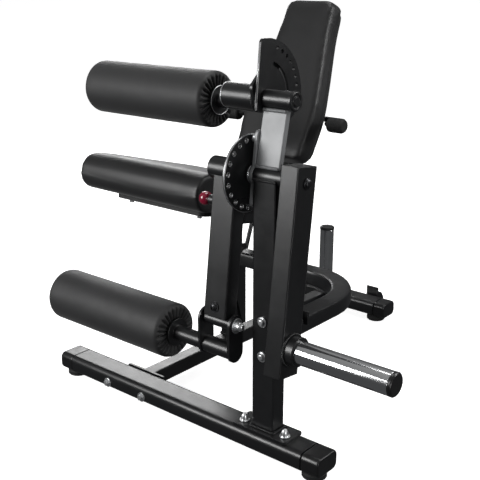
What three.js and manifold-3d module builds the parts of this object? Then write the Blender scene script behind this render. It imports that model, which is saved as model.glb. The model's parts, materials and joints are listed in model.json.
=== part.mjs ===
// Plate-loaded seated leg extension and leg curl machine, in millimetres, +Z up.
// X runs across the machine with the weight lever on the +X side, -Y is the front and Z = 0 is the floor.
// While the parts are built, X = 0 is the middle of the seat and Y = 0 is the main pivot shaft.
import * as THREE from 'three';
import { mergeVertices } from 'three/addons/utils/BufferGeometryUtils.js';
import Module from 'manifold-3d';

const wasm = await Module();
wasm.setup();

// Driving dimensions.
const GAP = 0.3;
const WALL = 3;
const MAIN_AXIS = { y: 0, z: 641 };
const TOP_AXIS = { y: 26, z: 795 };
const ARM_LEAN = THREE.MathUtils.degToRad(6.8);
const SEAT_TILT = THREE.MathUtils.degToRad(15);
const BOARD_TILT = THREE.MathUtils.degToRad(9.5);
const BACK_TILT = THREE.MathUtils.degToRad(26);
const BAR_LEAN = THREE.MathUtils.degToRad(12);
const BASE_TOP = 64;
const BASE_BOTTOM = 18;
const BASE_CORNER = 15;
const POST_X = [396.5, 457];
const POST_DEPTH = 40;
const MAIN_SHAFT_R = 12.5;
const MAIN_BORE_R = 12.9;
const TOP_SHAFT_R = 12;
const TOP_BORE_R = 12.4;
const DISC_HOLE_CIRCLE_R = 72;
const DISC_R = 81.5;
const QUADRANT_HOLE_CIRCLE_R = 105;
const QUADRANT_R = 120;
const PIN_R = 4;
const PIN_BORE_R = 4.4;
const LEVER_X = [474, 519];
const LEVER_DEPTH = 64;
const LEVER_TOP = 33;
const LEVER_BOTTOM = -406;
const HORN_REACH = 346;
const HORN_R = 25;
const ARM_X = [289, 351];
const ARM_DEPTH = 40;
const ARM_REACH = 334;
const CARRIAGE_DROP = 64.3;
const ROLLER_R = 65;
const ROLLER_X = [-211, 185];
const ROLLER_SHAFT_R = 17.5;
const THIGH_SHAFT = { y: 115, z: 764 };
const SEAT_PAD = { x: [-215, 200], nose: { y: 66, z: 553.5 }, half: 46.5, length: 395, rearHalf: 8.5 };
const BACK_HEIGHT = 478;
const BACK_THICKNESS = 58;

// Materials.
function finish(color, roughness, metalness) {
  return new THREE.MeshStandardMaterial({ color, roughness, metalness });
}

const FRAME_BLACK = finish(0x1d1e20, 0.42, 0.35);
const BAR_SILVER = finish(0xb4b6b8, 0.38, 0.6);
const CHROME = finish(0xdadde0, 0.12, 1);
const ZINC = finish(0xc2c5c8, 0.3, 0.9);
const RUBBER = finish(0x151515, 0.85, 0);
const PLASTIC = finish(0x1a1a1b, 0.5, 0);
const FOAM = finish(0x1b1b1c, 0.8, 0);
const VINYL = finish(0x232324, 0.55, 0);
const PLYWOOD = finish(0x222121, 0.7, 0);
const RED = finish(0x8c1428, 0.25, 0.1);

// Solids: a closed geometry becomes a manifold, is joined or cut, and becomes a geometry again.
function toSolid(geometry) {
  const bare = geometry.clone();
  bare.deleteAttribute('normal');
  bare.deleteAttribute('uv');
  const merged = mergeVertices(bare, 1e-3);
  return new wasm.Manifold(new wasm.Mesh({
    numProp: 3,
    vertProperties: new Float32Array(merged.attributes.position.array),
    triVerts: new Uint32Array(merged.index.array),
  }));
}

function toGeometry(solid) {
  const mesh = solid.getMesh();
  const indexed = new THREE.BufferGeometry();
  indexed.setAttribute('position', new THREE.BufferAttribute(mesh.vertProperties, 3));
  indexed.setIndex(new THREE.BufferAttribute(mesh.triVerts, 1));
  const geometry = indexed.toNonIndexed();
  geometry.computeVertexNormals();
  return geometry;
}

function join(...geometries) {
  const solids = geometries.map(toSolid);
  return toGeometry(solids.reduce((whole, next) => whole.add(next)));
}

function cut(geometry, ...tools) {
  const solids = tools.map(toSolid);
  return toGeometry(solids.reduce((left, tool) => left.subtract(tool), toSolid(geometry)));
}

// A shape's two coordinates are (y, z) along x, (z, x) along y and (x, y) along z.
const UNIT = {
  x: new THREE.Vector3(1, 0, 0),
  y: new THREE.Vector3(0, 1, 0),
  z: new THREE.Vector3(0, 0, 1),
};
const SHAPE_AXES = { x: ['y', 'z'], y: ['z', 'x'], z: ['x', 'y'] };

function extrude(shape, axis, from, to, curveSegments = 1) {
  const geometry = new THREE.ExtrudeGeometry(shape, { depth: to - from, bevelEnabled: false, curveSegments });
  const [first, second] = SHAPE_AXES[axis].map((name) => UNIT[name]);
  geometry.applyMatrix4(new THREE.Matrix4().makeBasis(first, second, UNIT[axis]));
  return geometry.translate(...UNIT[axis].clone().multiplyScalar(from).toArray());
}

function box(x0, x1, y0, y1, z0, z1) {
  const geometry = new THREE.BoxGeometry(x1 - x0, y1 - y0, z1 - z0);
  return geometry.translate((x0 + x1) / 2, (y0 + y1) / 2, (z0 + z1) / 2);
}

// A turned piece: pairs of [distance along the axis, radius], from one end on the axis to the other.
function turned(axis, profile, first, second, sides = 24) {
  const points = profile.map(([along, radius]) => new THREE.Vector2(radius, along));
  const geometry = new THREE.LatheGeometry(points, sides);
  const [a, b] = SHAPE_AXES[axis].map((name) => UNIT[name]);
  geometry.applyMatrix4(new THREE.Matrix4().makeBasis(b, UNIT[axis], a));
  const offset = a.clone().multiplyScalar(first).add(b.clone().multiplyScalar(second));
  return geometry.translate(...offset.toArray());
}

function rod(axis, radius, from, to, first, second, sides = 24) {
  return turned(axis, [[from, 0], [from, radius], [to, radius], [to, 0]], first, second, sides);
}

function pipe(axis, outer, inner, from, to, first, second, sides = 24) {
  const profile = [[from, inner], [from, outer], [to, outer], [to, inner], [from, inner]];
  return turned(axis, profile, first, second, sides);
}

function roundedRect(width, height, radius, x = 0, y = 0, Kind = THREE.Shape) {
  const [w, h] = [width / 2 - radius, height / 2 - radius];
  const shape = new Kind();
  shape.absarc(x + w, y + h, radius, 0, Math.PI / 2);
  shape.absarc(x - w, y + h, radius, Math.PI / 2, Math.PI);
  shape.absarc(x - w, y - h, radius, Math.PI, 1.5 * Math.PI);
  shape.absarc(x + w, y - h, radius, 1.5 * Math.PI, 2 * Math.PI);
  return shape;
}

function rectangle(width, height, x, y) {
  const [w, h] = [width / 2, height / 2];
  const corners = [[x - w, y - h], [x + w, y - h], [x + w, y + h], [x - w, y + h]];
  return new THREE.Path(corners.map(([a, b]) => new THREE.Vector2(a, b)));
}

function hollowSection(width, height, radius, x = 0, y = 0, wall = WALL) {
  const section = roundedRect(width, height, radius, x, y);
  const [w, h] = [width - 2 * wall, height - 2 * wall];
  section.holes.push(radius > 8 ? roundedRect(w, h, radius - wall, x, y, THREE.Path) : rectangle(w, h, x, y));
  return section;
}

function outline(points) {
  return new THREE.Shape(points.map(([x, y]) => new THREE.Vector2(x, y)));
}

// The outline of a link: the hull of circles [x, y, radius], listed counter-clockwise.
function linkOutline(circles) {
  const shape = new THREE.Shape();
  circles.forEach(([x, y, radius], index) => {
    const before = circles[(index + circles.length - 1) % circles.length];
    const after = circles[(index + 1) % circles.length];
    shape.absarc(x, y, radius, tangentAngle(before, circles[index]), tangentAngle(circles[index], after));
  });
  return shape;
}

function tangentAngle(from, to) {
  const [dx, dy] = [to[0] - from[0], to[1] - from[1]];
  return Math.atan2(dy, dx) - Math.PI / 2 + Math.asin((from[2] - to[2]) / Math.hypot(dx, dy));
}

const group = new THREE.Group();

function add(name, geometry, material, parent = group) {
  const mesh = new THREE.Mesh(geometry, material);
  mesh.name = name;
  parent.add(mesh);
}

// A nested group at (0, y, z) turned about X.
function turnedGroup(y, z, angle) {
  const nested = new THREE.Group();
  nested.position.set(0, y, z);
  nested.rotation.x = angle;
  group.add(nested);
  return nested;
}

const armFrame = turnedGroup(MAIN_AXIS.y, MAIN_AXIS.z, -ARM_LEAN);
const seatFrame = turnedGroup(SEAT_PAD.nose.y, SEAT_PAD.nose.z, -SEAT_TILT);
const boardFrame = turnedGroup(
  SEAT_PAD.nose.y - SEAT_PAD.half * Math.sin(SEAT_TILT),
  SEAT_PAD.nose.z - SEAT_PAD.half * Math.cos(SEAT_TILT),
  -BOARD_TILT,
);
const backFootY = 543 - 55 * Math.tan(BACK_TILT);
const backFrame = turnedGroup(backFootY, 545, Math.PI / 2 - BACK_TILT);

// Base: two cross tubes with plastic end caps and rubber feet, joined by the main tube.
const BASE_MID = (BASE_TOP + BASE_BOTTOM) / 2;
const BASE_HEIGHT = BASE_TOP - BASE_BOTTOM;
const FRONT = { y: -5, depth: 74, tube: [-204, 546], ends: [-252, 594], feet: [-224, 560], footR: 28 };
const REAR = { y: 845, depth: 66, tube: [-198, 198], ends: [-238, 238], feet: [-192, 192], footR: 28 };
const BASE_BOLT_X = [370, 484];
const BASE_BOLT_Y = -12;
const BASE_BOLT_HOLE_R = 5.5;

function endCap(cross, side) {
  const [tubeEnd, capEnd] = [cross.tube[side], cross.ends[side]];
  const out = Math.sign(capEnd - tubeEnd);
  const rim = 5;
  const steps = [
    [tubeEnd + out * GAP, 0],
    [capEnd - out * rim, 0],
    [capEnd, rim],
  ];
  const plugSize = [cross.depth - 2 * WALL - 1, BASE_HEIGHT - 2 * WALL - 1];
  const plug = roundedRect(...plugSize, BASE_CORNER - WALL, cross.y, BASE_MID);
  const ends = [tubeEnd - out * 22, tubeEnd + out * 4].sort((a, b) => a - b);
  return join(cappedBlock(cross, steps), extrude(plug, 'x', ...ends));
}

// A block of the tube's outer section whose far end narrows by the last inset.
function cappedBlock(cross, steps) {
  const lowest = steps[0][0];
  const highest = steps[steps.length - 1][0];
  const bevel = steps[steps.length - 1][1];
  const section = roundedRect(cross.depth - 2 * bevel, BASE_HEIGHT - 2 * bevel, BASE_CORNER - bevel,
    cross.y, BASE_MID);
  const geometry = new THREE.ExtrudeGeometry(section, {
    depth: Math.abs(highest - lowest) - 2 * bevel,
    bevelEnabled: true,
    bevelThickness: bevel,
    bevelSize: bevel,
    bevelSegments: 2,
    curveSegments: 2,
  });
  geometry.applyMatrix4(new THREE.Matrix4().makeBasis(UNIT.y, UNIT.z, UNIT.x));
  geometry.translate(Math.min(lowest, highest) + bevel, 0, 0);
  return geometry;
}

function foot(x, cross) {
  const profile = [[0, 0], [0, cross.footR - 3], [3, cross.footR], [12, cross.footR],
    [BASE_BOTTOM - GAP, cross.footR - 6], [BASE_BOTTOM - GAP, 0]];
  return turned('z', profile, x, cross.y, 16);
}

function addBase() {
  const front = hollowSection(FRONT.depth, BASE_HEIGHT, BASE_CORNER, FRONT.y, BASE_MID);
  const tube = extrude(front, 'x', ...FRONT.tube, 2);
  const holes = BASE_BOLT_X.map((x) => rod('z', BASE_BOLT_HOLE_R, 55, 70, x, BASE_BOLT_Y, 16));
  add('front_stabiliser', cut(tube, ...holes), FRAME_BLACK);
  const rear = hollowSection(REAR.depth, BASE_HEIGHT, BASE_CORNER, REAR.y, BASE_MID);
  add('rear_stabiliser', extrude(rear, 'x', ...REAR.tube, 2), FRAME_BLACK);
  [['front', FRONT], ['rear', REAR]].forEach(([name, cross]) => {
    ['left', 'right'].forEach((side, index) => {
      add(`${name}_end_cap_${side}`, endCap(cross, index), PLASTIC);
      add(`${name}_foot_${side}`, foot(cross.feet[index], cross), RUBBER);
    });
  });
}

function addMainTube() {
  const frontFace = FRONT.y + FRONT.depth / 2 + GAP;
  const rearFace = REAR.y - REAR.depth / 2 - GAP;
  const plate = 6;
  const drain = (y) => rod('y', 9, y - 20, y + 20, 36, 0, 20);
  const tube = extrude(hollowSection(40, 40, 5, 36, 0), 'y', frontFace + plate - 0.5, rearFace - plate + 0.5);
  const frontPlate = extrude(roundedRect(42, 130, 5, 41, 0), 'y', frontFace, frontFace + plate);
  const rearPlate = extrude(roundedRect(42, 110, 5, 41, 0), 'y', rearFace - plate, rearFace);
  const whole = join(tube, frontPlate, rearPlate);
  add('main_tube', cut(whole, drain(frontFace), drain(rearFace)), FRAME_BLACK);
}

function addTransportWheel(side, sign) {
  const face = REAR.y + REAR.depth / 2 + GAP;
  const centre = { x: sign * 155, y: face + 27, z: 46 };
  const halfWidth = 20;
  const ear = linkOutline([[face + 2, 60, 12], [face + 2, 34, 12], [centre.y, centre.z, 11]]);
  const ears = [-1, 1].map((end) => {
    const x = centre.x + end * (halfWidth - 2);
    return cut(extrude(ear, 'x', x - 2, x + 2), box(x - 5, x + 5, face - 30, face + 2, 0, 100));
  });
  const back = box(centre.x - halfWidth, centre.x + halfWidth, face, face + 4, 20, 88);
  const axle = rod('x', 4, centre.x - halfWidth - 3, centre.x + halfWidth + 3, centre.y, centre.z, 12);
  add(`wheel_bracket_${side}`, join(back, ...ears, axle), FRAME_BLACK);
  const [a, b] = [centre.x - 14, centre.x + 14];
  const profile = [[a, 4.4], [a, 16], [a + 3, 19], [b - 3, 19], [b, 16], [b, 4.4], [a, 4.4]];
  add(`transport_wheel_${side}`, turned('x', profile, centre.y, centre.z, 18), PLASTIC);
}

function addStoragePost() {
  const y = 842;
  add('storage_post', pipe('z', 22, 19.5, BASE_TOP + GAP, 258, 0, y, 28), CHROME);
  const profile = [[240, 0], [240, 19], [258 + GAP, 19], [258 + GAP, 23], [264, 23], [267, 20.5], [267, 0]];
  add('storage_cap', turned('z', profile, 0, y), PLASTIC);
}

// Tower: post, pivot housings, silver bar, splice bar and the fixed quadrant plate.
const RING_BOLT_Z = { lower: 246, upper: 327 };
const RING_BOLT_X = 425;
const RING_PLATE_Y = [POST_DEPTH / 2 + GAP, POST_DEPTH / 2 + GAP + 6];

function addTowerPost() {
  const middle = (POST_X[0] + POST_X[1]) / 2;
  const width = POST_X[1] - POST_X[0];
  const base = [BASE_TOP + GAP, BASE_TOP + GAP + 6];
  const tube = extrude(hollowSection(width, POST_DEPTH, 4, middle, 0), 'z', base[1] - 1, 640);
  const plate = extrude(roundedRect(150, 66, 6, middle, -3), 'z', ...base);
  const housing = rod('x', 19 + GAP, 300, 500, MAIN_AXIS.y, MAIN_AXIS.z);
  const drain = rod('z', 10, 50, 90, middle, 0, 20);
  const boltHoles = BASE_BOLT_X.map((x) => rod('z', BASE_BOLT_HOLE_R, 50, 90, x, BASE_BOLT_Y, 16));
  const crossHoles = Object.values(RING_BOLT_Z).map((z) => rod('y', 5.5, -40, 40, z, RING_BOLT_X, 16));
  add('tower_post', cut(join(tube, plate), housing, drain, ...boltHoles, ...crossHoles), FRAME_BLACK);
  [['left', BASE_BOLT_X[0]], ['right', BASE_BOLT_X[1]]].forEach(([side, x]) => {
    const z = base[1] + GAP;
    const profile = [[50, 0], [50, 5], [z, 5], [z, 12], [z + 2.5, 12], [z + 2.5, 8.5], [z + 9, 8.5],
      [z + 15, 6.5], [z + 18, 3], [z + 19, 0]];
    add(`base_bolt_${side}`, turned('z', profile, x, BASE_BOLT_Y, 14), ZINC);
  });
}

function addPivotTower() {
  add('pivot_housing', pipe('x', 19, 13.5, 394, 468, MAIN_AXIS.y, MAIN_AXIS.z), FRAME_BLACK);
  add('top_housing', pipe('x', 19, TOP_SHAFT_R + GAP, 394, 462, TOP_AXIS.y, TOP_AXIS.z), FRAME_BLACK);
  const bar = extrude(roundedRect(61, 13, 2), 'z', -66, 66);
  bar.rotateX(-BAR_LEAN);
  bar.translate(424.5, 11, 718);
  const saddles = [MAIN_AXIS, TOP_AXIS].map(({ y, z }) => rod('x', 19 + GAP, 300, 500, y, z));
  add('roller_bar', cut(bar, ...saddles), BAR_SILVER);
  const splice = extrude(roundedRect(28, 162, 11), 'x', 386, 393.6);
  splice.rotateX(-ARM_LEAN);
  splice.translate(0, 4, 652);
  const eye = rod('x', 20, 386, 393.6, MAIN_AXIS.y, MAIN_AXIS.z);
  const bore = rod('x', 13.5, 380, 400, MAIN_AXIS.y, MAIN_AXIS.z);
  add('splice_bar', cut(join(splice, eye), bore), BAR_SILVER);
}

function quadrantOutline() {
  const shape = new THREE.Shape();
  shape.moveTo(-30, -22);
  shape.lineTo(60, -26);
  shape.lineTo(QUADRANT_R, -6);
  shape.absarc(0, 0, QUADRANT_R, -0.03, THREE.MathUtils.degToRad(94));
  shape.quadraticCurveTo(-18, 119, -18.5, 107);
  shape.lineTo(-30, -7);
  return shape;
}

// A slot around the top axis, 8 wide, between two angles in degrees.
function arcSlot(radius, halfWidth, from, to) {
  const [a, b] = [from, to].map(THREE.MathUtils.degToRad);
  const path = new THREE.Path();
  path.absarc(0, 0, radius + halfWidth, a, b);
  path.absarc(radius * Math.cos(b), radius * Math.sin(b), halfWidth, b, b + Math.PI);
  path.absarc(0, 0, radius - halfWidth, b, a, true);
  path.absarc(radius * Math.cos(a), radius * Math.sin(a), halfWidth, a + Math.PI, a + 2 * Math.PI);
  return path;
}

function circlePath(x, y, radius) {
  return new THREE.Path().absarc(x, y, radius, 0, 2 * Math.PI);
}

function addQuadrantPlate() {
  const shape = quadrantOutline();
  [70, 60, 50, 40, 30, 20, 10].forEach((degrees) => {
    const angle = THREE.MathUtils.degToRad(degrees);
    const [y, z] = [QUADRANT_HOLE_CIRCLE_R * Math.cos(angle), QUADRANT_HOLE_CIRCLE_R * Math.sin(angle)];
    shape.holes.push(circlePath(y, z, 4.4));
  });
  shape.holes.push(arcSlot(72, 4, 7, 69));
  const plate = cut(extrude(shape, 'x', 388, 393.6, 4), rod('x', TOP_SHAFT_R + GAP, 380, 400, 0, 0));
  add('quadrant_plate', plate.translate(0, TOP_AXIS.y, TOP_AXIS.z), FRAME_BLACK);
  const head = 462 + GAP;
  const profile = [[300, 0], [300, TOP_SHAFT_R], [head, TOP_SHAFT_R], [head, 21], [head + 6, 21], [head + 9, 19],
    [head + 9, 15], [head + 7, 14], [head + 7, 10], [head + 9.5, 9], [head + 9.5, 0]];
  add('top_pivot_bolt', turned('x', profile, TOP_AXIS.y, TOP_AXIS.z), FRAME_BLACK);
}

// Ring tube from the tower post round to the centre post, with the lever's stop bumper on it.
const RING = { x: 432, bendY: 227, bendR: 147, width: 50, height: 40, z: 291, end: 26 };
const CENTRE_POST = { half: 20, y: [349, 399] };

function ringBend() {
  const centreX = RING.x - RING.bendR;
  const ring = (inset) => {
    const section = roundedRect(RING.width - 2 * inset, RING.height - 2 * inset, 8 - inset, RING.bendR, 0);
    const points = section.getPoints(1);
    const closed = points[0].distanceTo(points[points.length - 1]) < 1e-6 ? points : [...points, points[0]];
    const lathe = new THREE.LatheGeometry(closed, 36);
    lathe.rotateX(Math.PI / 2);
    return lathe.translate(centreX, RING.bendY, RING.z);
  };
  const quarter = box(centreX, 600, RING.bendY, 600, 0, 600);
  const solid = toSolid(ring(0)).subtract(toSolid(ring(WALL))).intersect(toSolid(quarter));
  return toGeometry(solid);
}

function addRingTube() {
  const section = (x, y) => hollowSection(RING.width, RING.height, 8, x, y);
  const turnedSection = (x, y) => hollowSection(RING.height, RING.width, 8, x, y);
  const farY = RING.bendY + RING.bendR;
  const nearLeg = extrude(turnedSection(RING.z, RING.x), 'y', RING_PLATE_Y[1] - 1, RING.bendY);
  const farLeg = extrude(section(farY, RING.z), 'x', RING.end - 1, RING.x - RING.bendR);
  const nearPlate = extrude(roundedRect(115, 60, 5, 287.5, RING.x - 2), 'y', ...RING_PLATE_Y);
  const gusset = extrude(outline([[344, 322], [344, 236], [392, 84], [404, 84], [404, 322]]), 'x', 20.3, RING.end);
  const drains = [
    rod('y', 10, 0, 60, RING.z, RING.x, 20),
    rod('x', 10, 0, 60, farY, RING.z, 20),
    ...Object.values(RING_BOLT_Z).map((z) => rod('y', 5.5, -40, 40, z, RING_BOLT_X, 16)),
  ];
  add('ring_tube', cut(join(nearLeg, ringBend(), farLeg, nearPlate, gusset), ...drains), FRAME_BLACK);
  Object.entries(RING_BOLT_Z).forEach(([name, z]) => {
    const front = -POST_DEPTH / 2 - GAP;
    const back = RING_PLATE_Y[1] + GAP;
    const profile = [[front - 8, 0], [front - 8, 6], [front - 5, 8.5], [front - 2.5, 8.5], [front - 2.5, 12],
      [front, 12], [front, 5], [back, 5], [back, 9], [back + 8, 9], [back + 8, 0]];
    add(`ring_bolt_${name}`, turned('y', profile, z, RING_BOLT_X, 14), ZINC);
  });
}

function addStopBumper() {
  const leg = RING.x + RING.width / 2 + GAP;
  const upright = box(leg, leg + 6, 41, 61, 277, 350);
  const arm = box(leg, 499, 41, 47, 320, 350);
  add('stop_bracket', join(upright, arm), FRAME_BLACK);
  const profile = [[32.6, 0], [32.6, 10], [35, 12.5], [66, 12.5], [70, 9], [70, 0]];
  add('stop_bumper', turned('y', profile, -306, 484, 28), RUBBER, armFrame);
}

// Seat: centre post, slanted mount with the back rest's receiver, board and pad.
const BOARD_BOTTOM = -16.3;
const MOUNT_BOTTOM = BOARD_BOTTOM - GAP - 6;
const RECEIVER = { z: MOUNT_BOTTOM - GAP - 25, size: 50, rear: 500, pin: 470 };

// A box in the frame of the seat board, brought to the machine's frame.
function boardBox(...limits) {
  boardFrame.updateMatrixWorld(true);
  return box(...limits).applyMatrix4(boardFrame.matrixWorld);
}

function addSeat() {
  const { half, y } = CENTRE_POST;
  const postSection = hollowSection(2 * half, y[1] - y[0], 4, 0, (y[0] + y[1]) / 2);
  const post = extrude(postSection, 'z', 56 + GAP, 600);
  add('centre_post', cut(post, boardBox(-60, 60, 0, 600, MOUNT_BOTTOM - GAP, 400)), FRAME_BLACK);

  add('seat_mount', box(-75, 75, 225, 375, MOUNT_BOTTOM, BOARD_BOTTOM - GAP), FRAME_BLACK, boardFrame);
  const tube = extrude(hollowSection(RECEIVER.size, RECEIVER.size, 4, RECEIVER.z, 0), 'y', 250, RECEIVER.rear);
  const barrel = rod('x', 10, 24, 40, RECEIVER.pin, RECEIVER.z);
  const pinHole = rod('x', PIN_BORE_R, 10, 60, RECEIVER.pin, RECEIVER.z, 16);
  const front = box(-60, 60, 0, y[1] + GAP, 0, 900).applyMatrix4(boardFrame.matrixWorld.clone().invert());
  const inside = box(-21, 21, 300, 520, RECEIVER.z - 21, RECEIVER.z + 21);
  add('back_receiver', cut(join(tube, barrel), pinHole, front, inside), FRAME_BLACK, boardFrame);
  const pin = pullPin(-72, -41, -22.3, 13, 0, 0).rotateZ(Math.PI).translate(0, RECEIVER.pin, RECEIVER.z);
  add('back_pin', pin, PLASTIC, boardFrame);

  const board = extrude(roundedRect(304, 350, 18, 0, 215), 'z', BOARD_BOTTOM, -GAP, 2);
  add('seat_board', board, PLYWOOD, boardFrame);
  const pad = new THREE.Shape();
  pad.absarc(0, 0, SEAT_PAD.half, Math.PI / 2, 1.5 * Math.PI);
  pad.absarc(SEAT_PAD.length - 16, 16 - SEAT_PAD.rearHalf, 16, 1.55 * Math.PI, 2 * Math.PI);
  pad.absarc(SEAT_PAD.length - 24, SEAT_PAD.half - 24, 24, 0, Math.PI / 2);
  add('seat_pad', extrude(pad, 'x', ...SEAT_PAD.x, 6), VINYL, seatFrame);
}

// A strut from the centre post's rear face up to the receiver.
function addStrut() {
  const strut = rod('z', 6, -30, 260, 0, 0, 16);
  strut.rotateX(-THREE.MathUtils.degToRad(20));
  strut.translate(0, CENTRE_POST.y[1] + 6, 207);
  const post = box(-50, 50, 0, CENTRE_POST.y[1] + GAP, 0, 600);
  const receiver = boardBox(-50, 50, 0, 700, RECEIVER.z - RECEIVER.size / 2 - GAP, 400);
  add('back_strut', cut(strut, post, receiver), FRAME_BLACK);
}

// Back rest: pad, board and handle bar on a bent carrier that slides in the receiver.
const CARRIER_FACE = -BACK_THICKNESS - 12.6;
const UPRIGHT_Y = 640;

function backOutline(inset) {
  const halfWidths = [[120, 0], [128, 139], [117, 228], [94, 362], [87, BACK_HEIGHT]];
  const corner = 30;
  const side = halfWidths.slice(1, -1).map(([x, y]) => new THREE.Vector2(x - inset, y));
  const foot = new THREE.Vector2(124 - inset, corner + inset);
  const head = new THREE.Vector2(87 - inset, BACK_HEIGHT - corner - inset);
  const mirrored = (point) => new THREE.Vector2(-point.x, point.y);
  const shape = new THREE.Shape();
  shape.moveTo(-120 + corner + inset, inset);
  shape.lineTo(120 - corner - inset, inset);
  shape.quadraticCurveTo(121 - inset, inset, foot.x, foot.y);
  shape.splineThru([...side, head]);
  shape.quadraticCurveTo(86 - inset, BACK_HEIGHT - inset, 86 - corner - inset, BACK_HEIGHT - inset);
  shape.lineTo(corner + inset - 86, BACK_HEIGHT - inset);
  shape.quadraticCurveTo(inset - 86, BACK_HEIGHT - inset, -head.x, head.y);
  shape.splineThru([...side.map(mirrored).reverse(), mirrored(foot)]);
  shape.quadraticCurveTo(-121 + inset, inset, -120 + corner + inset, inset);
  return shape;
}

function addBackRest() {
  add('back_pad', extrude(backOutline(0), 'z', -BACK_THICKNESS, 0, 4), VINYL, backFrame);
  const board = extrude(backOutline(14), 'z', -BACK_THICKNESS - 12.3, -BACK_THICKNESS - GAP, 4);
  add('back_board', board, PLYWOOD, backFrame);
  backFrame.updateMatrixWorld(true);
  const upright = extrude(hollowSection(40, 40, 4, 0, UPRIGHT_Y), 'z', 300, 720);
  const infront = box(-60, 60, -500, 500, CARRIER_FACE, 300).applyMatrix4(backFrame.matrixWorld);
  const below = boardBox(-60, 60, 300, 1200, -500, RECEIVER.z - 15);
  const plate = extrude(roundedRect(110, 190, 8, 0, 165), 'z', CARRIER_FACE - 5, CARRIER_FACE);
  plate.applyMatrix4(backFrame.matrixWorld);
  const slide = extrude(hollowSection(42.6, 42.6, 4, RECEIVER.z, 0), 'y', 415, 590);
  const carrier = join(cut(upright, infront, below), plate, slide.applyMatrix4(boardFrame.matrixWorld));
  add('back_carrier', carrier, FRAME_BLACK);
}

// Handle bar: behind the back rest, then forward past its sides to a grip along X at each end.
const GRIP = { x: [160, 210], y: 600, z: 642 };

function handlePath() {
  const [outer, rearY, bend] = [147, UPRIGHT_Y + 29.5, 14];
  const half = [[GRIP.x[1] - 9, GRIP.y], [outer, GRIP.y], [outer, rearY]];
  const corners = [...half, ...half.slice().reverse().map(([x, y]) => [-x, y])];
  const points = corners.map(([x, y]) => new THREE.Vector3(x, y, GRIP.z));
  const path = new THREE.CurvePath();
  let from = points[0];
  for (let k = 1; k < points.length - 1; k += 1) {
    const before = points[k].clone().lerp(points[k - 1], bend / points[k].distanceTo(points[k - 1]));
    const after = points[k].clone().lerp(points[k + 1], bend / points[k].distanceTo(points[k + 1]));
    path.add(new THREE.LineCurve3(from, before));
    path.add(new THREE.QuadraticBezierCurve3(before, points[k], after));
    from = after;
  }
  path.add(new THREE.LineCurve3(from, points[points.length - 1]));
  return path;
}

function addHandles() {
  const section = new THREE.Shape().absarc(0, 0, 8, 0, 2 * Math.PI);
  const options = { extrudePath: handlePath(), steps: 38, curveSegments: 4, bevelEnabled: false };
  add('handle_bar', new THREE.ExtrudeGeometry(section, options), FRAME_BLACK);
  [['left', -1], ['right', 1]].forEach(([side, sign]) => {
    const length = GRIP.x[1] - GRIP.x[0];
    const profile = [[0, 8.6], [0, 17], [3, 20], [length - 6, 20], [length, 16], [length, 0],
      [length - 8, 0], [length - 8, 8.6], [0, 8.6]];
    const ends = profile.map(([along, radius]) => [sign * (GRIP.x[0] + along), radius]);
    add(`handle_grip_${side}`, turned('x', sign > 0 ? ends : ends.reverse(), GRIP.y, GRIP.z, 24), RUBBER);
  });
}

// Thigh hold-down: arm plate on the top axis with its roller shaft and sprung pin.
const THIGH_PIN = {
  y: TOP_AXIS.y + QUADRANT_HOLE_CIRCLE_R * Math.cos(Math.PI / 3),
  z: TOP_AXIS.z + QUADRANT_HOLE_CIRCLE_R * Math.sin(Math.PI / 3),
};

function addThighArm() {
  const shaft = [THIGH_SHAFT.y - TOP_AXIS.y, THIGH_SHAFT.z - TOP_AXIS.z];
  const pin = [THIGH_PIN.y - TOP_AXIS.y, THIGH_PIN.z - TOP_AXIS.z];
  const pinArm = linkOutline([[0, -2, 27], [pin[0], pin[1], 14], [-21, 22, 14]]);
  const shaftArm = linkOutline([[0, 0, 27], [...shaft, 24]]);
  const plates = [pinArm, shaftArm].map((shape) => extrude(shape, 'x', 378, 385, 4));
  const tube = rod('x', 27, 292, 379, 0, 0);
  const roller = pipe('x', ROLLER_SHAFT_R, 14, -190, 379, ...shaft);
  const flange = pipe('x', 33, 15, 187, 192, ...shaft);
  const barrel = rod('x', 10, 365, 379, ...pin);
  const bore = rod('x', TOP_BORE_R, 299, 400, 0, 0);
  const pinHole = rod('x', PIN_BORE_R, 340, 400, ...pin, 20);
  const arm = cut(join(...plates, tube, roller, flange, barrel), bore, pinHole);
  add('thigh_arm', arm.translate(0, TOP_AXIS.y, TOP_AXIS.z), FRAME_BLACK);
  add('thigh_roller', rollerFoam(THIGH_SHAFT), FOAM);
  add('thigh_pin', pullPin(341, 364, 387.5, 13, THIGH_PIN.y, THIGH_PIN.z), PLASTIC);
}

// A pull pin along X: a knob from its outer end to its inner end, then the pin to its tip.
function pullPin(outer, inner, tip, radius, y, z) {
  const profile = [[outer, 0], [outer + 1, radius * 0.6], [outer + 5, radius], [inner - 9, radius],
    [inner - 3, radius * 0.7], [inner, radius * 0.65], [inner, PIN_R], [tip - 2, PIN_R], [tip, PIN_R - 1.5], [tip, 0]];
  return turned('x', profile, y, z, 16);
}

// A foam roller on a shaft, closed at its left end.
function rollerFoam({ y, z }) {
  const [left, right] = ROLLER_X;
  const bore = ROLLER_SHAFT_R + 0.6;
  const profile = [[left, 0], [left, 50], [left + 6, 60], [left + 18, ROLLER_R], [right - 28, ROLLER_R],
    [right - 9, 58], [right, 42], [right, bore], [left + 16, bore], [left + 16, 0]];
  return turned('x', profile, y, z, 24);
}

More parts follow.
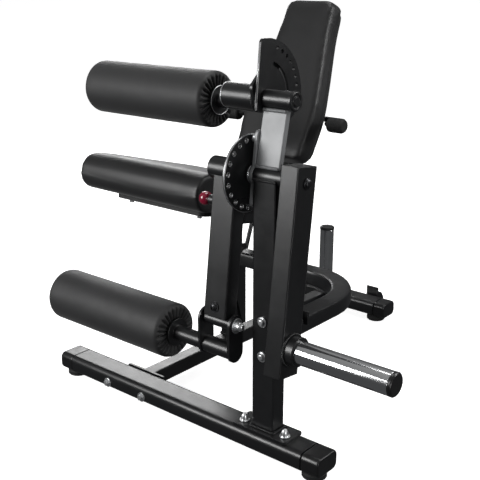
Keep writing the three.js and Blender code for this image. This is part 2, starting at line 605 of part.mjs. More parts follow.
// Drive: shaft, range disc, weight lever and weight horn turn together.
function addDrive() {
  const boltR = 6;
  const profile = [[273, 0], [273, MAIN_SHAFT_R], [380, MAIN_SHAFT_R], [380, 21], [384, 21], [384, MAIN_SHAFT_R],
    [515.5, MAIN_SHAFT_R], [515.5, boltR + GAP], [490, boltR + GAP], [490, 0]];
  add('main_shaft', turned('x', profile, MAIN_AXIS.y, MAIN_AXIS.z), CHROME);
  const disc = new THREE.Shape(new THREE.Path().absarc(0, 0, DISC_R, 0, 2 * Math.PI).getPoints(30));
  for (let k = 0; k < 20; k += 1) {
    const angle = k * Math.PI / 10 - Math.PI / 2;
    disc.holes.push(circlePath(DISC_HOLE_CIRCLE_R * Math.cos(angle), DISC_HOLE_CIRCLE_R * Math.sin(angle), 4.8));
  }
  const eye = rod('x', MAIN_SHAFT_R + GAP, 360, 380, 0, 0);
  add('range_disc', cut(extrude(disc, 'x', 368, 375, 4), eye), FRAME_BLACK, armFrame);

  const middle = (LEVER_X[0] + LEVER_X[1]) / 2;
  const width = LEVER_X[1] - LEVER_X[0];
  const tube = extrude(hollowSection(width, LEVER_DEPTH, 4, middle, 0), 'z', LEVER_BOTTOM, LEVER_TOP);
  const cap = extrude(roundedRect(width, LEVER_DEPTH, 4, middle, 0), 'z', LEVER_TOP - 4, LEVER_TOP);
  const bore = rod('x', MAIN_SHAFT_R + GAP, 460, 516, 0, 0);
  const boltHole = rod('x', boltR + GAP, 510, 530, 0, 0, 20);
  add('weight_lever', cut(join(tube, cap), bore, boltHole), FRAME_BLACK, armFrame);
  const face = LEVER_X[1] + GAP;
  const bolt = [[492, 0], [492, boltR], [face, boltR], [face, 12], [face + 2.5, 12], [face + 2.5, 9.5],
    [face + 6, 8.5], [face + 8, 5], [face + 8, 0]];
  add('lever_bolt', turned('x', bolt, MAIN_AXIS.y, MAIN_AXIS.z, 18), ZINC);
  add('weight_horn', pipe('x', HORN_R, HORN_R - 3, face, 758, 0, -HORN_REACH, 32), CHROME, armFrame);
  add('horn_collar', pipe('x', 32, HORN_R + GAP, face, 541, 0, -HORN_REACH), FRAME_BLACK, armFrame);
  const hornCap = [[742, 0], [742, 21.5], [758 + GAP, 21.5], [758 + GAP, 25.5], [764, 25.5], [767, 22], [767, 0]];
  add('horn_cap', turned('x', hornCap, 0, -HORN_REACH), PLASTIC, armFrame);
}

// Swing arm on the main shaft, with the red sprung pin that sets its start angle.
function addSwingArm() {
  const middle = (ARM_X[0] + ARM_X[1]) / 2;
  const width = ARM_X[1] - ARM_X[0];
  const tube = extrude(hollowSection(width, ARM_DEPTH, 4, middle, 0), 'z', -322, -10);
  const hub = rod('x', 25, 275, 352, 0, 0);
  const sleeve = rod('x', 14, 284, 359, 0, -ARM_REACH, 24);
  const barrel = rod('x', 11, 270, ARM_X[0] + 1, 0, -DISC_HOLE_CIRCLE_R, 24);
  const tools = [
    rod('x', MAIN_BORE_R, 274, 360, 0, 0),
    rod('x', 6.5, 270, 370, 0, -ARM_REACH, 24),
    rod('x', PIN_BORE_R, 265, 360, 0, -DISC_HOLE_CIRCLE_R, 20),
  ];
  add('swing_arm', cut(join(tube, hub, sleeve, barrel), ...tools), FRAME_BLACK, armFrame);
  add('range_pin', pullPin(240, 269, 367.5, 17, 0, -DISC_HOLE_CIRCLE_R), RED, armFrame);
}

// Ankle carriage hanging from the swing arm, with its roller.
const LOW_PIVOT = {
  y: MAIN_AXIS.y - ARM_REACH * Math.sin(ARM_LEAN),
  z: MAIN_AXIS.z - ARM_REACH * Math.cos(ARM_LEAN),
};
const ANKLE = { y: LOW_PIVOT.y, z: LOW_PIVOT.z - CARRIAGE_DROP };

function addCarriage() {
  const plate = linkOutline([[ANKLE.y, ANKLE.z, 23], [LOW_PIVOT.y, LOW_PIVOT.z, 23]]);
  const plates = [[276, 282], [361, 368]].map(([from, to]) => extrude(plate, 'x', from, to, 4));
  const cross = rod('x', 19, 281, 362, ANKLE.y, ANKLE.z);
  const pivotHole = rod('x', 6.5, 260, 380, LOW_PIVOT.y, LOW_PIVOT.z, 24);
  add('ankle_carriage', cut(join(...plates, cross), pivotHole), FRAME_BLACK);
  const profile = [[266, 0], [266, 7], [269, 11], [276 - GAP, 11], [276 - GAP, 6], [368 + GAP, 6], [368 + GAP, 17],
    [372, 17], [372, 10], [381, 10], [385, 6.5], [388, 6], [388, 0]];
  add('carriage_bolt', turned('x', profile, LOW_PIVOT.y, LOW_PIVOT.z, 18), ZINC);
  const shaft = pipe('x', ROLLER_SHAFT_R, 14, -190, 276 - GAP, ANKLE.y, ANKLE.z);
  add('ankle_shaft', join(shaft, pipe('x', 33, 15, 187, 192, ANKLE.y, ANKLE.z)), FRAME_BLACK);
  add('ankle_roller', rollerFoam(ANKLE), FOAM);
}

addBase();
addMainTube();
addTransportWheel('left', -1);
addTransportWheel('right', 1);
addStoragePost();
addTowerPost();
addPivotTower();
addQuadrantPlate();
addRingTube();
addStopBumper();
addSeat();
addStrut();
addBackRest();
addHandles();
addThighArm();
addDrive();
addSwingArm();
addCarriage();

// The origin is the middle of the machine's footprint on the floor.
group.updateMatrixWorld(true);
const extent = new THREE.Box3().setFromObject(group, true);
group.position.set(-(extent.min.x + extent.max.x) / 2, -(extent.min.y + extent.max.y) / 2, -extent.min.z);

export default group;
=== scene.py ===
"""Looks of the seated leg extension machine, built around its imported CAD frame. Lengths are in metres."""

import json
import math

import bmesh
import bpy
from mathutils import Matrix, Vector, noise


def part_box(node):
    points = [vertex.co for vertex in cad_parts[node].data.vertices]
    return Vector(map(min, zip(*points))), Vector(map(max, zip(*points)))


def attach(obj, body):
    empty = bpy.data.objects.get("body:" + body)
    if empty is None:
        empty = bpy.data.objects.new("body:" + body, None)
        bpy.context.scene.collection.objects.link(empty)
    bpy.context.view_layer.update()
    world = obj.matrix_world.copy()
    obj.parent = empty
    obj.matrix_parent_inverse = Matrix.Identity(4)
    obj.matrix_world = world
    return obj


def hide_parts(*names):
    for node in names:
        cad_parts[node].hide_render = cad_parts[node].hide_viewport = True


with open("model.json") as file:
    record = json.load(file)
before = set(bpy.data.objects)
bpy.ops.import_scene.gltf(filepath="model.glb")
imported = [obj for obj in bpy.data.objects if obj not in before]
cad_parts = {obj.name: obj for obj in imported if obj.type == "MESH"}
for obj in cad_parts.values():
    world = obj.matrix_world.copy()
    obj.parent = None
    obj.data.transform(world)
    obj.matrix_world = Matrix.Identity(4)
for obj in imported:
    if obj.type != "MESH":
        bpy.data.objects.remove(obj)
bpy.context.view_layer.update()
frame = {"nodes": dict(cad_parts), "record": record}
NODES = frame["nodes"]
BODY_OF = {node: body for body, names in frame["record"]["behaviour"]["bodies"].items() for node in names}
SLOT_OF = {part["node"]: part["material_slot"] for part in frame["record"]["subparts"]}
X, Y, Z = Vector((1, 0, 0)), Vector((0, 1, 0)), Vector((0, 0, 1))
ARM_LEAN = math.radians(-6.8)
BOARD_TILT = math.radians(-9.5)
BACK_TILT = math.radians(26)
VIEW_TURN = math.radians(40.15)


def middle(node):
    low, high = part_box(node)
    return (low + high) / 2


SHAFT = middle("main_shaft")
TOP = middle("top_housing")
HORN = middle("weight_horn")


# ---------------------------------------------------------------- materials
def node_material(name, **values):
    material = bpy.data.materials.new(name)
    material.use_nodes = True
    shader = material.node_tree.nodes["Principled BSDF"]
    for socket, value in values.items():
        shader.inputs[socket.replace("_", " ")].default_value = value
    return material, material.node_tree, shader


def coordinates(tree):
    return tree.nodes.new("ShaderNodeTexCoord").outputs["Object"]


def noise_texture(tree, scale, detail=3.0, stretch=(1, 1, 1)):
    mapping = tree.nodes.new("ShaderNodeMapping")
    mapping.inputs["Scale"].default_value = stretch
    texture = tree.nodes.new("ShaderNodeTexNoise")
    texture.inputs["Scale"].default_value = scale
    texture.inputs["Detail"].default_value = detail
    tree.links.new(coordinates(tree), mapping.inputs["Vector"])
    tree.links.new(mapping.outputs["Vector"], texture.inputs["Vector"])
    return texture.outputs["Fac"]


def cell_texture(tree, scale):
    texture = tree.nodes.new("ShaderNodeTexVoronoi")
    texture.feature = "DISTANCE_TO_EDGE"
    texture.inputs["Scale"].default_value = scale
    tree.links.new(coordinates(tree), texture.inputs["Vector"])
    return texture.outputs["Distance"]


def ramp(tree, factor, low, high, start=0.3, end=0.7):
    node = tree.nodes.new("ShaderNodeValToRGB")
    node.color_ramp.elements[0].position = start
    node.color_ramp.elements[1].position = end
    node.color_ramp.elements[0].color = (*low, 1)
    node.color_ramp.elements[1].color = (*high, 1)
    tree.links.new(factor, node.inputs["Fac"])
    return node.outputs["Color"]


def value_range(tree, factor, low, high):
    node = tree.nodes.new("ShaderNodeMapRange")
    node.inputs["To Min"].default_value = low
    node.inputs["To Max"].default_value = high
    tree.links.new(factor, node.inputs["Value"])
    return node.outputs["Result"]


def bump(tree, shader, heights, distance, strength=1.0):
    normal = None
    for height, share in heights:
        node = tree.nodes.new("ShaderNodeBump")
        node.inputs["Distance"].default_value = distance * share
        node.inputs["Strength"].default_value = strength
        tree.links.new(height, node.inputs["Height"])
        if normal is not None:
            tree.links.new(normal, node.inputs["Normal"])
        normal = node.outputs["Normal"]
    tree.links.new(normal, shader.inputs["Normal"])


def powder_coat(name, color, roughness, metallic=0.0):
    material, tree, shader = node_material(name, Metallic=metallic, Coat_Weight=0.15, Coat_Roughness=0.25)
    dust = noise_texture(tree, 9, 5)
    tint = ramp(tree, dust, [c * 0.8 for c in color], [c * 1.3 for c in color])
    tree.links.new(tint, shader.inputs["Base Color"])
    tree.links.new(value_range(tree, noise_texture(tree, 30, 4), roughness - 0.06, roughness + 0.08),
                   shader.inputs["Roughness"])
    bump(tree, shader, [(noise_texture(tree, 420, 2), 1.0), (noise_texture(tree, 60, 2), 1.5)], 0.00012)
    return material


def bare_metal(name, color, roughness, stretch=(1, 1, 1), grain=0.00003):
    material, tree, shader = node_material(name, Metallic=1.0)
    shade = noise_texture(tree, 25, 4, stretch)
    tint = ramp(tree, shade, [c * 0.9 for c in color], color)
    tree.links.new(tint, shader.inputs["Base Color"])
    tree.links.new(value_range(tree, noise_texture(tree, 140, 3, stretch), roughness * 0.7, roughness * 1.5),
                   shader.inputs["Roughness"])
    bump(tree, shader, [(noise_texture(tree, 300, 2, stretch), 1.0)], grain)
    return material


def moulded(name, color, roughness, grain=0.00008, coat=0.0):
    material, tree, shader = node_material(name, Coat_Weight=coat, Coat_Roughness=0.08)
    tint = ramp(tree, noise_texture(tree, 14, 4), [c * 0.8 for c in color], [c * 1.25 for c in color])
    tree.links.new(tint, shader.inputs["Base Color"])
    tree.links.new(value_range(tree, noise_texture(tree, 55, 3), roughness - 0.05, roughness + 0.06),
                   shader.inputs["Roughness"])
    bump(tree, shader, [(noise_texture(tree, 900, 2), 1.0)], grain)
    return material


def vinyl(name, color, roughness, grain_scale, depth):
    material, tree, shader = node_material(name, Sheen_Weight=0.12, Sheen_Roughness=0.4)
    tint = ramp(tree, noise_texture(tree, 7, 5), [c * 0.85 for c in color], [c * 1.2 for c in color])
    tree.links.new(tint, shader.inputs["Base Color"])
    tree.links.new(value_range(tree, noise_texture(tree, 40, 3), roughness - 0.05, roughness + 0.07),
                   shader.inputs["Roughness"])
    heights = [(cell_texture(tree, grain_scale), 1.0), (noise_texture(tree, grain_scale * 2.2, 2), 0.7)]
    bump(tree, shader, heights, depth, 0.6)
    return material


def plywood(name, color):
    material, tree, shader = node_material(name, Roughness=0.6)
    grain = noise_texture(tree, 30, 6, (1, 12, 12))
    tree.links.new(ramp(tree, grain, color, [c * 2.2 for c in color]), shader.inputs["Base Color"])
    bump(tree, shader, [(grain, 1.0)], 0.0002)
    return material


MATERIALS = {
    "frame_black": powder_coat("black_powder_coat", (0.0055, 0.0058, 0.0064), 0.36),
    "bar_silver": powder_coat("silver_paint", (0.22, 0.225, 0.23), 0.46, 0.1),
    "chrome": bare_metal("polished_chrome", (0.82, 0.83, 0.84), 0.11, (0.15, 1, 1), 0.000006),
    "zinc": bare_metal("zinc_plate", (0.86, 0.87, 0.88), 0.33),
    "rubber": moulded("black_rubber", (0.008, 0.008, 0.008), 0.72, 0.00015),
    "black_plastic": moulded("grained_plastic", (0.008, 0.008, 0.0085), 0.3),
    "red_plastic": moulded("red_gloss", (0.20, 0.002, 0.022), 0.22, 0.00001, 0.7),
    "roller_foam": vinyl("roller_cover", (0.016, 0.016, 0.0165), 0.58, 520, 0.00018),
    "pad_vinyl": vinyl("pad_cover", (0.0085, 0.0085, 0.009), 0.44, 430, 0.00014),
    "pad_board": plywood("black_board", (0.007, 0.007, 0.007)),
}
# Bright steel for the strips and rings that paint highlights onto edges, rims and holes.
HIGHLIGHT_STEEL = bare_metal("painted_highlight_steel", (0.70, 0.71, 0.72), 0.3)
DARK_STEEL = bare_metal("black_oxide_steel", (0.075, 0.076, 0.08), 0.3)


# ---------------------------------------------------------------- pieces
def new_piece(name, bm, slot, body, smooth_below=math.radians(35), material=None):
    """A finished mesh object that rides on a body and takes a material slot."""
    bmesh.ops.recalc_face_normals(bm, faces=bm.faces)
    mesh = bpy.data.meshes.new(name)
    bm.to_mesh(mesh)
    bm.free()
    mesh.polygons.foreach_set("use_smooth", [True] * len(mesh.polygons))
    mesh.set_sharp_from_angle(angle=smooth_below)
    piece = bpy.data.objects.new(name, mesh)
    bpy.context.scene.collection.objects.link(piece)
    mesh.materials.append(material or MATERIALS[slot])
    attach(piece, body)
    return piece


def axis_frame(origin, axis):
    """A matrix that puts local Z along axis at origin."""
    return Matrix.Translation(origin) @ axis.to_track_quat("Z", "Y").to_matrix().to_4x4()


def revolve(bm, profile, origin, axis, sides=48, closed=False, shape=None):
    """Adds a turned solid: pairs of (distance along the axis, radius). shape may move each point."""
    place = axis_frame(origin, axis)
    rings = []
    for index, (along, radius) in enumerate(profile):
        if radius < 1e-7:
            rings.append([bm.verts.new(place @ Vector((0, 0, along)))])
            continue
        ring = []
        for k in range(sides):
            angle = 2 * math.pi * k / sides
            a, r = shape(index, along, radius, angle) if shape else (along, radius)
            ring.append(bm.verts.new(place @ Vector((r * math.cos(angle), r * math.sin(angle), a))))
        rings.append(ring)
    pairs = list(zip(rings, rings[1:]))
    if closed:
        pairs.append((rings[-1], rings[0]))
    for first, second in pairs:
        for k in range(sides):
            j = (k + 1) % sides
            corners = [first[k % len(first)], first[j % len(first)], second[j % len(second)], second[k % len(second)]]
            distinct = list(dict.fromkeys(corners))
            if len(distinct) > 2:
                bm.faces.new(distinct)


def hex_prism(bm, origin, axis, across, height, turn=0.0):
    """A hexagon head with a chamfered top."""
    radius = across / math.sqrt(3)
    chamfer = height * 0.14
    place = axis_frame(origin, axis)
    rings = []
    for along, r in ((0, radius), (height - chamfer, radius), (height, radius * 0.87)):
        corners = [turn + k * math.pi / 3 for k in range(6)]
        rings.append([bm.verts.new(place @ Vector((r * math.cos(t), r * math.sin(t), along))) for t in corners])
    for first, second in zip(rings, rings[1:]):
        for k in range(6):
            bm.faces.new([first[k], first[(k + 1) % 6], second[(k + 1) % 6], second[k]])
    bm.faces.new(rings[0])
    bm.faces.new(rings[-1])


def tube_along(bm, points, radius, sides=10, closed=False, ripple=0.0, pitch=0.003):
    """A round bead along a line of points; ripple swells it at each pitch, as a weld does."""
    count = len(points)
    rings = []
    length = 0.0
    side = None
    for k, point in enumerate(points):
        before = points[k - 1] if k or closed else point
        after = points[(k + 1) % count] if k < count - 1 or closed else point
        tangent = (after - before).normalized()
        side = side - tangent * side.dot(tangent) if side else tangent.orthogonal()
        side.normalize()
        other = tangent.cross(side)
        length += (point - points[k - 1]).length if k else 0.0
        swell = radius * (1 + ripple * math.sin(2 * math.pi * length / pitch))
        angles = [2 * math.pi * j / sides for j in range(sides)]
        rings.append([bm.verts.new(point + (side * math.cos(t) + other * math.sin(t)) * swell) for t in angles])
    pairs = list(zip(rings, rings[1:])) + ([(rings[-1], rings[0])] if closed else [])
    for first, second in pairs:
        for j in range(sides):
            i = (j + 1) % sides
            bm.faces.new([first[j], first[i], second[i], second[j]])
    if not closed:
        bm.faces.new(rings[0])
        bm.faces.new(rings[-1])


def resampled(points, step, closed=False):
    """Points every step along a polyline."""
    corners = points + ([points[0]] if closed else [])
    result = []
    for start, end in zip(corners, corners[1:]):
        count = max(1, round((end - start).length / step))
        result += [start.lerp(end, k / count) for k in range(count)]
    return result if closed else result + [corners[-1]]


def weld(name, points, body, radius=0.0028, closed=False, slot="frame_black"):
    bm = bmesh.new()
    tube_along(bm, resampled(points, 0.0009, closed), radius, 10, closed, 0.2, 0.0036)
    return new_piece(name, bm, slot, body, math.pi)


def circle(centre, axis, radius, count=48):
    place = axis_frame(centre, axis)
    angles = [2 * math.pi * k / count for k in range(count)]
    return [place @ Vector((radius * math.cos(t), radius * math.sin(t), 0)) for t in angles]


def refined(node, bevel=0.0007, material=None):
    """The node's own shape with rounded edges, for everything hard whose shape is right."""
    bm = bmesh.new()
    bm.from_mesh(NODES[node].data)
    bmesh.ops.remove_doubles(bm, verts=bm.verts, dist=1e-5)
    bmesh.ops.dissolve_limit(bm, angle_limit=math.radians(0.5), verts=bm.verts, edges=bm.edges)
    piece = new_piece(f"{node}_finished", bm, SLOT_OF[node], BODY_OF[node], material=material)
    edges = piece.modifiers.new("rounded_edges", "BEVEL")
    edges.width = bevel
    edges.segments = 2
    edges.limit_method = "ANGLE"
    edges.angle_limit = math.radians(40)
    flats = piece.modifiers.new("flat_faces", "WEIGHTED_NORMAL")
    flats.mode = "FACE_AREA"
    flats.weight = 100
    flats.keep_sharp = True
    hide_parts(node)
    return piece


# ---------------------------------------------------------------- soft pieces
def pleated_roller(name, node, seed):
    """A foam roller whose cover is gathered round the shaft at each end."""
    low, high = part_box(node)
    length = high.x - low.x
    radius = (high.z - low.z) / 2
    pleats = 26
    bore = 0.0181
    left, right = 0.016, 0.014
    profile = [(0.004, 0.0), (0.004, 0.012), (0.003, 0.02), (0.001, 0.028), (0.0, 0.036), (0.001, 0.046)]
    profile += [(left - left * math.cos(t), radius - left + left * math.sin(t))
                for t in (math.radians(a) for a in (20, 40, 60, 75, 90))]
    profile += [(left + (length - left - right) * k / 26, radius) for k in range(1, 27)]
    profile += [(length - right + right * math.sin(t), radius - right + right * math.cos(t))
                for t in (math.radians(a) for a in (14, 28, 42, 56, 70, 84))]
    profile += [(length - 0.001, 0.034), (length - 0.004, 0.027), (length - 0.006, 0.022)]
    profile += [(length - 0.008, bore), (0.02, bore), (0.02, 0.0)]

    def gathered(index, along, r, angle):
        if r <= bore + 1e-6 or index < 3:
            return along, r
        near_end = min(along, length - along)
        share = max(0.0, min(1.0, (radius - 0.004 - r) / 0.010)) * max(0.0, 1 - near_end / 0.022)
        wobble = noise.noise(Vector((math.cos(angle) * 2, math.sin(angle) * 2, seed + along * 3)))
        fold = abs(math.sin(pleats * angle / 2 + wobble * 1.3))
        depth = 0.0085 * share * (1 - fold) ** 1.3
        sag = 0.0006 * noise.noise(Vector((along * 12, math.cos(angle) * 2, math.sin(angle) * 2 + seed)))
        inward = 1 if along < length / 2 else -1
        return along + inward * depth, r + sag - 0.0006

    bm = bmesh.new()
    revolve(bm, profile, Vector((low.x, middle(node).y, middle(node).z)), X, 208, shape=gathered)
    piece = new_piece(name, bm, "roller_foam", BODY_OF[node], math.pi)
    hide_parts(node)
    return piece


def inflate(piece, cap, flat_side):
    """Cloth under pressure, held where it meets its board; its swelling is evened out and capped."""
    mesh = piece.data
    rest = [v.co.copy() for v in mesh.vertices]
    held = piece.vertex_groups.new(name="held")
    held.add([v.index for v in mesh.vertices if v.normal.dot(flat_side) > 0.8], 1.0, "REPLACE")
    cloth = piece.modifiers.new("stuffing", "CLOTH")
    settings = cloth.settings
    settings.quality = 4
    settings.use_pressure = True
    settings.uniform_pressure_force = 4
    settings.effector_weights.gravity = 0
    settings.vertex_group_mass = "held"
    settings.tension_stiffness = 25
    settings.compression_stiffness = 25
    scene = bpy.context.scene
    for step in range(1, 21):
        scene.frame_set(step)
    moved = piece.evaluated_get(bpy.context.evaluated_depsgraph_get()).data
    swelling = [v.co - start for v, start in zip(moved.vertices, rest)]
    piece.modifiers.remove(cloth)
    scene.frame_set(1)
    neighbours = [[] for _ in rest]
    for edge in mesh.edges:
        first, second = edge.vertices
        neighbours[first].append(second)
        neighbours[second].append(first)
    for _ in range(90):
        swelling = [(own + sum((swelling[k] for k in near), Vector())) / (1 + len(near))
                    for own, near in zip(swelling, neighbours)]
    for vertex, start, step in zip(mesh.vertices, rest, swelling):
        if step.length > cap:
            step *= cap / step.length
        vertex.co = start + step
    piece.vertex_groups.clear()


def remeshed(node, voxel, shrink, rounding):
    """The node's solid as an even quad mesh, pulled in by shrink so that it has room to swell."""
    source = NODES[node]
    copy = bpy.data.objects.new("remesh_source", source.data.copy())
    bpy.context.scene.collection.objects.link(copy)
    weld_modifier = copy.modifiers.new("merge", "WELD")
    weld_modifier.merge_threshold = 1e-5
    modifier = copy.modifiers.new("voxels", "REMESH")
    modifier.mode = "VOXEL"
    modifier.voxel_size = voxel
    bm = bmesh.new()
    bm.from_object(copy, bpy.context.evaluated_depsgraph_get())
    bpy.data.objects.remove(copy)
    bm.normal_update()
    for _ in range(rounding):
        bmesh.ops.smooth_vert(bm, verts=bm.verts, factor=0.5, use_axis_x=True, use_axis_y=True, use_axis_z=True)
    bm.normal_update()
    for vertex in bm.verts:
        vertex.co -= vertex.normal * shrink
    return bm


def cushion(name, node, flat_side, rounding, voxel=0.006, shrink=0.0015, cap=0.005):
    piece = new_piece(name, remeshed(node, voxel, shrink, rounding), SLOT_OF[node], BODY_OF[node], math.pi)
    inflate(piece, cap, flat_side)
    smoother = piece.modifiers.new("smooth_surface", "SUBSURF")
    smoother.levels = 1
    smoother.render_levels = 1
    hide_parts(node)
    return piece


def seat_pad():
    down = Matrix.Rotation(BOARD_TILT, 3, "X") @ -Z
    return cushion("seat_cushion", "seat_pad", down, 4)


def back_pad():
    rear = Vector((0, math.cos(BACK_TILT), -math.sin(BACK_TILT)))
    return cushion("back_cushion", "back_pad", rear, 16)


# ---------------------------------------------------------------- hard details
def pull_knob(node, slot, radius, axis):
    """A smooth ball knob with a collar and its steel pin, in place of a pull pin's plain solid."""
    low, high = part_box(node)
    span = high.x - low.x
    start = Vector((low.x if axis.x > 0 else high.x, middle(node).y, middle(node).z))
    knob = [(radius * (1 - math.cos(t)), radius * math.sin(t)) for t in (k * math.pi / 18 for k in range(14))]
    grip = knob[-1][0]
    knob += [(grip + 0.002, 0.55 * radius), (grip + 0.006, 0.58 * radius), (grip + 0.007, 0.5 * radius)]
    end = knob[-1][0]
    bm = bmesh.new()
    revolve(bm, [*knob, (end, 0.0)], start, axis, 40)
    piece = new_piece(f"{node}_knob", bm, slot, BODY_OF[node])
    bm = bmesh.new()
    revolve(bm, [(end + 0.0001, 0), (end + 0.0001, 0.0039), (span - 0.002, 0.0039), (span, 0.0022), (span, 0)],
            start, axis, 24)
    pin = new_piece(f"{node}_steel", bm, "zinc", BODY_OF[node])
    pin.parent = piece
    pin.matrix_parent_inverse = piece.matrix_world.inverted()
    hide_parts(node)


def bolt(name, origin, axis, body, across=0.013, dome=False, washer=0.012, material=None):
    bm = bmesh.new()
    revolve(bm, [(0, 0), (0, washer), (0.0018, washer), (0.0022, washer * 0.96), (0.0022, 0)], origin, axis, 32)
    head = origin + axis * 0.0022
    if dome:
        revolve(bm, [(0, 0), (0, 0.009), (0.002, 0.0085), (0.0045, 0.0055), (0.0052, 0.0036), (0.003, 0.003),
                     (0.003, 0)], head, axis, 24)
    else:
        hex_prism(bm, head, axis, across, 0.0068, 0.3)
    return new_piece(name, bm, "zinc", body, math.radians(28), material)


def hole_highlight_rims(name, centre, circle_radius, angles, hole_radius, face_x, body):
    """Bright rings round the holes of a plate that faces +X: painted highlights on the hole chamfers."""
    bm = bmesh.new()
    for angle in angles:
        point = Vector((face_x, centre.y + circle_radius * math.cos(angle), centre.z + circle_radius * math.sin(angle)))
        profile = [(0, hole_radius), (0, hole_radius + 0.0011), (0.0004, hole_radius + 0.0008),
                   (0.0005, hole_radius + 0.0001), (-0.002, hole_radius - 0.0002)]
        revolve(bm, profile, point, X, 20, closed=True)
    return new_piece(name, bm, "zinc", body, math.pi, HIGHLIGHT_STEEL)


def hard_details():
    done = {"seat_pad", "back_pad", "thigh_roller", "ankle_roller", "range_pin", "thigh_pin", "back_pin"}
    for node in NODES:
        if node in done:
            continue
        if "end_cap" in node:
            refined(node, 0.003)
        elif node == "lever_bolt":
            refined(node, 0.0012, DARK_STEEL)
        else:
            refined(node)
    pull_knob("range_pin", "red_plastic", 0.0155, X)
    pull_knob("thigh_pin", "black_plastic", 0.0125, X)
    pull_knob("back_pin", "black_plastic", 0.0125, -X)


def front_bolts():
    """Two bolts through the front stabiliser into the main tube."""
    face_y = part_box("front_stabiliser")[0].y - 0.0002
    bolt_height = 0.036
    for side, offset in (("left", -0.062), ("right", 0.062)):
        place = Vector((middle("main_tube").x + offset, face_y, bolt_height))
        bolt(f"front_bolt_{side}", place, -Y, "frame")


def arm_bolt():
    """The dark bolt low on the swing arm's front face."""
    lean = Matrix.Rotation(ARM_LEAN, 3, "X")
    distance_from_shaft, front_face, disc_to_bolt = 0.300, 0.0202, 0.048
    spot = SHAFT - lean @ Z * distance_from_shaft - lean @ Y * front_face
    spot.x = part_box("range_disc")[0].x - disc_to_bolt
    bolt("arm_bolt", spot, -(lean @ Y), "swing", dome=True, material=DARK_STEEL)


def splice_bolt():
    """The bolt in the rounded top of the splice bar."""
    low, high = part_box("splice_bar")
    spot = Vector((low.x - 0.0002, high.y - 0.021, high.z - 0.016))
    bolt("splice_bolt", spot, -X, "frame", dome=True, washer=0.008)


def seat_bolts():
    """Four bolts under the seat board."""
    tilt = Matrix.Rotation(BOARD_TILT, 3, "X")
    low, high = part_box("seat_board")
    board_thickness = 0.0162
    for side, offset in (("left", -0.119), ("right", 0.119)):
        for row, along in (("front", 0.03), ("rear", 0.30)):
            corner = Vector(((low.x + high.x) / 2 + offset, low.y, high.z))
            spot = corner + tilt @ Y * along - tilt @ Z * board_thickness
            bolt(f"seat_bolt_{side}_{row}", spot, -(tilt @ Z), "frame", across=0.01, washer=0.009)


def rectangle_at(centre_x, centre_y, z, half_x, half_y):
    """The four corners of a level rectangle, in order."""
    signs = ((-1, -1), (1, -1), (1, 1), (-1, 1))
    return [Vector((centre_x + sx * half_x, centre_y + sy * half_y, z)) for sx, sy in signs]


def welds():
    low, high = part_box("roller_bar")
    bar_x = (low.x + high.x) / 2
    for name, y, z in (("low", low.y + 0.001, low.z + 0.0025), ("high", low.y + 0.0235, high.z - 0.0035)):
        ends = [Vector((low.x + 0.002, y, z)), Vector((high.x - 0.002, y, z))]
        weld(f"bar_weld_{name}", ends, "frame", 0.0036, slot="bar_silver")
    foot_plate_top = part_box("tower_post")[0].z + 0.007
    corners = rectangle_at(bar_x + 0.00225, SHAFT.y, foot_plate_top, 0.0325, 0.0222)
    weld("post_weld", corners, "frame", 0.0032, closed=True)
    housing = middle("pivot_housing")
    for side, offset in (("front", -0.0185), ("rear", 0.0185)):
        y, z = housing.y + offset, housing.z - 0.006
        weld(f"housing_weld_{side}", [Vector((bar_x - 0.028, y, z)), Vector((bar_x + 0.032, y, z))], "frame", 0.003)
    lever_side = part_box("horn_collar")[0].x + 0.001
    weld("collar_weld", circle(Vector((lever_side, HORN.y, HORN.z)), X, 0.0335), "drive", 0.003, True)
    weld("thigh_weld", circle(TOP - X * 0.0515, X, 0.028), "thigh_hold", 0.0022, True)
    low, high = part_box("centre_post")
    corners = rectangle_at((low.x + high.x) / 2, (low.y + high.y) / 2, low.z + 0.0012, (high.x - low.x) / 2,
                           (high.y - low.y) / 2)
    weld("centre_weld", corners, "frame", 0.003, closed=True)
    storage = middle("storage_post")
    stabiliser_top = 0.0665
    weld("storage_weld", circle(Vector((storage.x, storage.y, stabiliser_top)), Z, 0.0235), "frame", 0.003, True)


def highlight_strip(name, points, body, radius=0.0007, closed=False):
    """A bright strip along a plate or a tube end: a painted highlight."""
    bm = bmesh.new()
    tube_along(bm, points, radius, 8, closed)
    return new_piece(name, bm, "zinc", body, math.pi, HIGHLIGHT_STEEL)


def disc_highlights():
    """Painted highlights round the range disc's holes and rim."""
    low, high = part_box("range_disc")
    holes = 20
    angles = [2 * math.pi * k / holes - math.pi / 2 + ARM_LEAN for k in range(holes)]
    hole_highlight_rims("disc_hole_highlights", SHAFT, 0.072, angles, 0.0048, high.x + 0.0001, "drive")
    outline = circle(Vector((low.x + 0.0035, SHAFT.y, SHAFT.z)), X, (high.z - low.z) / 2, 96)
    highlight_strip("disc_rim_highlight", outline, "drive", 0.0016, True)


def quadrant_edge_highlight():
    """A painted highlight along the quadrant plate's front edge, from its lowest to its highest corner."""
    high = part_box("quadrant_plate")[1]
    corners = [v.co for v in NODES["quadrant_plate"].data.vertices if v.co.x > high.x - 0.0005]
    foot = min((p for p in corners if p.z < TOP.z), key=lambda p: p.y)
    head = min((p for p in corners if p.z > high.z - 0.012), key=lambda p: p.y)
    depth = Vector((-0.0026, -0.0002, 0))
    highlight_strip("quadrant_edge_highlight", [foot + depth, head + depth], "frame", 0.0012)


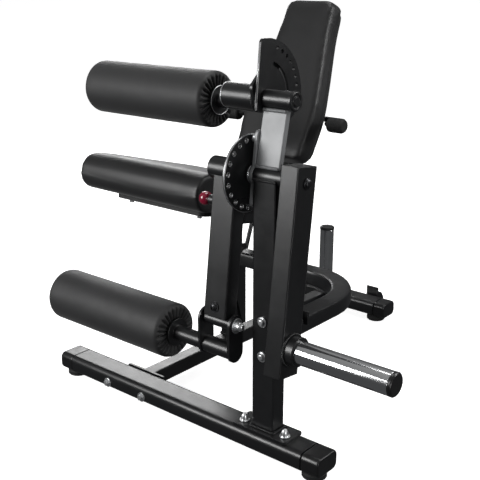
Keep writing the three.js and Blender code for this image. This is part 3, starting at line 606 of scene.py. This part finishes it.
def top_pivot_highlights():
    """Painted highlights: bright rings at the ends of the thigh arm's tube and flange, and on the rings of the
    housing's end plug.
    """
    plate_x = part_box("quadrant_plate")[1].x
    thigh = middle("thigh_roller")
    tube_end, flange_face = plate_x - 0.1014, plate_x - 0.2018
    highlight_strip("thigh_hub_highlight", circle(Vector((tube_end, TOP.y, TOP.z)), X, 0.0266), "thigh_hold", 0.0012, True)
    highlight_strip("thigh_flange_highlight", circle(Vector((flange_face, thigh.y, thigh.z)), X, 0.0327), "thigh_hold", 0.0009,
               True)
    plug_face = Vector((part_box("top_housing")[1].x, TOP.y, TOP.z))
    for name, radius in (("outer", 0.0185), ("inner", 0.0095)):
        highlight_strip(f"plug_highlight_ring_{name}", circle(plug_face, X, radius), "frame", 0.0009, True)


def grip_ribs():
    ribs, margin = 7, 0.009
    for side in ("left", "right"):
        low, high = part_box(f"handle_grip_{side}")
        centre = middle(f"handle_grip_{side}")
        pitch = (high.x - low.x - 2 * margin) / (ribs - 1)
        bm = bmesh.new()
        for k in range(ribs):
            rib = Vector((low.x + margin + k * pitch, centre.y, centre.z))
            tube_along(bm, circle(rib, X, 0.0196, 40), 0.0011, 6, True)
        new_piece(f"grip_ribs_{side}", bm, "rubber", "back_rest", math.pi)


# ---------------------------------------------------------------- stage
def sweep():
    """A round pale floor that curves up into a backdrop all the way round."""
    profile = [(0.0, 0.0), (0.0, 2.0), (0.0, 7.0)]
    profile += [(2 - 2 * math.cos(t), 7 + 2 * math.sin(t)) for t in (k * math.pi / 16 for k in range(1, 9))]
    profile += [(9.0, 9.0)]
    bm = bmesh.new()
    revolve(bm, profile, Vector(), Z, 96)
    mesh = bpy.data.meshes.new("floor")
    bm.to_mesh(mesh)
    bm.free()
    mesh.polygons.foreach_set("use_smooth", [True] * len(mesh.polygons))
    return mesh


def stage():
    mesh = sweep()
    floor = bpy.data.objects.new("floor", mesh)
    floor.visible_glossy = False
    floor.visible_diffuse = False
    floor.visible_shadow = False
    bpy.context.scene.collection.objects.link(floor)
    material, tree, shader = node_material("pale_floor", Roughness=0.9, Specular_IOR_Level=0.0,
                                           Emission_Color=(1, 1, 1, 1), Emission_Strength=0.8)
    shade = ramp(tree, noise_texture(tree, 0.8, 2), (0.86, 0.86, 0.86), (0.9, 0.9, 0.9))
    tree.links.new(shade, shader.inputs["Base Color"])
    mesh.materials.append(material)


def surroundings():
    """A dark studio that brightens overhead."""
    world = bpy.data.worlds.new("studio")
    world.use_nodes = True
    tree = world.node_tree
    split = tree.nodes.new("ShaderNodeSeparateXYZ")
    tree.links.new(tree.nodes.new("ShaderNodeTexCoord").outputs["Generated"], split.inputs["Vector"])
    glow = ramp(tree, split.outputs["Z"], (0.12, 0.122, 0.126), (0.55, 0.55, 0.55), 0.05, 0.95)
    tree.links.new(glow, tree.nodes["Background"].inputs["Color"])
    tree.nodes["Background"].inputs["Strength"].default_value = 0.55
    bpy.context.scene.world = world
    bpy.context.scene.view_settings.view_transform = "Standard"


def area_light(name, place, target, size, energy):
    light = bpy.data.lights.new(name, "AREA")
    light.shape = "RECTANGLE"
    light.size, light.size_y = size
    light.energy = energy
    holder = bpy.data.objects.new(name, light)
    holder.location = place
    holder.rotation_euler = (Vector(target) - Vector(place)).to_track_quat("-Z", "Y").to_euler()
    bpy.context.scene.collection.objects.link(holder)


def lights():
    area_light("key", (-1.45, -2.65, 1.3), (0, 0, 0.75), (1.0, 1.3), 62)
    area_light("edge", (2.9, -1.7, 0.75), (0.1, 0, 0.55), (0.35, 1.7), 24)
    area_light("side", (2.2, 1.6, 1.9), (0.1, 0.2, 0.7), (1.0, 1.0), 34)
    area_light("top", (-0.2, 0.3, 3.0), (0, 0, 0.5), (1.2, 0.8), 26)
    area_light("rear", (-3.1, 2.3, 2.0), (-0.1, -0.3, 0.1), (1.6, 0.9), 42)


def camera():
    data = bpy.data.cameras.new("camera")
    data.sensor_width = 36
    data.lens = 64.3
    holder = bpy.data.objects.new("camera", data)
    holder.location = (1.2245, -1.7569, 1.037)
    holder.rotation_euler = (math.radians(72.75), 0, VIEW_TURN)
    bpy.context.scene.collection.objects.link(holder)
    bpy.context.scene.camera = holder


hard_details()
pleated_roller("thigh_roller_cover", "thigh_roller", 3.0)
pleated_roller("ankle_roller_cover", "ankle_roller", 8.0)
seat_pad()
back_pad()
front_bolts()
arm_bolt()
splice_bolt()
seat_bolts()
welds()
disc_highlights()
quadrant_edge_highlight()
top_pivot_highlights()
grip_ribs()
stage()
surroundings()
lights()
camera()
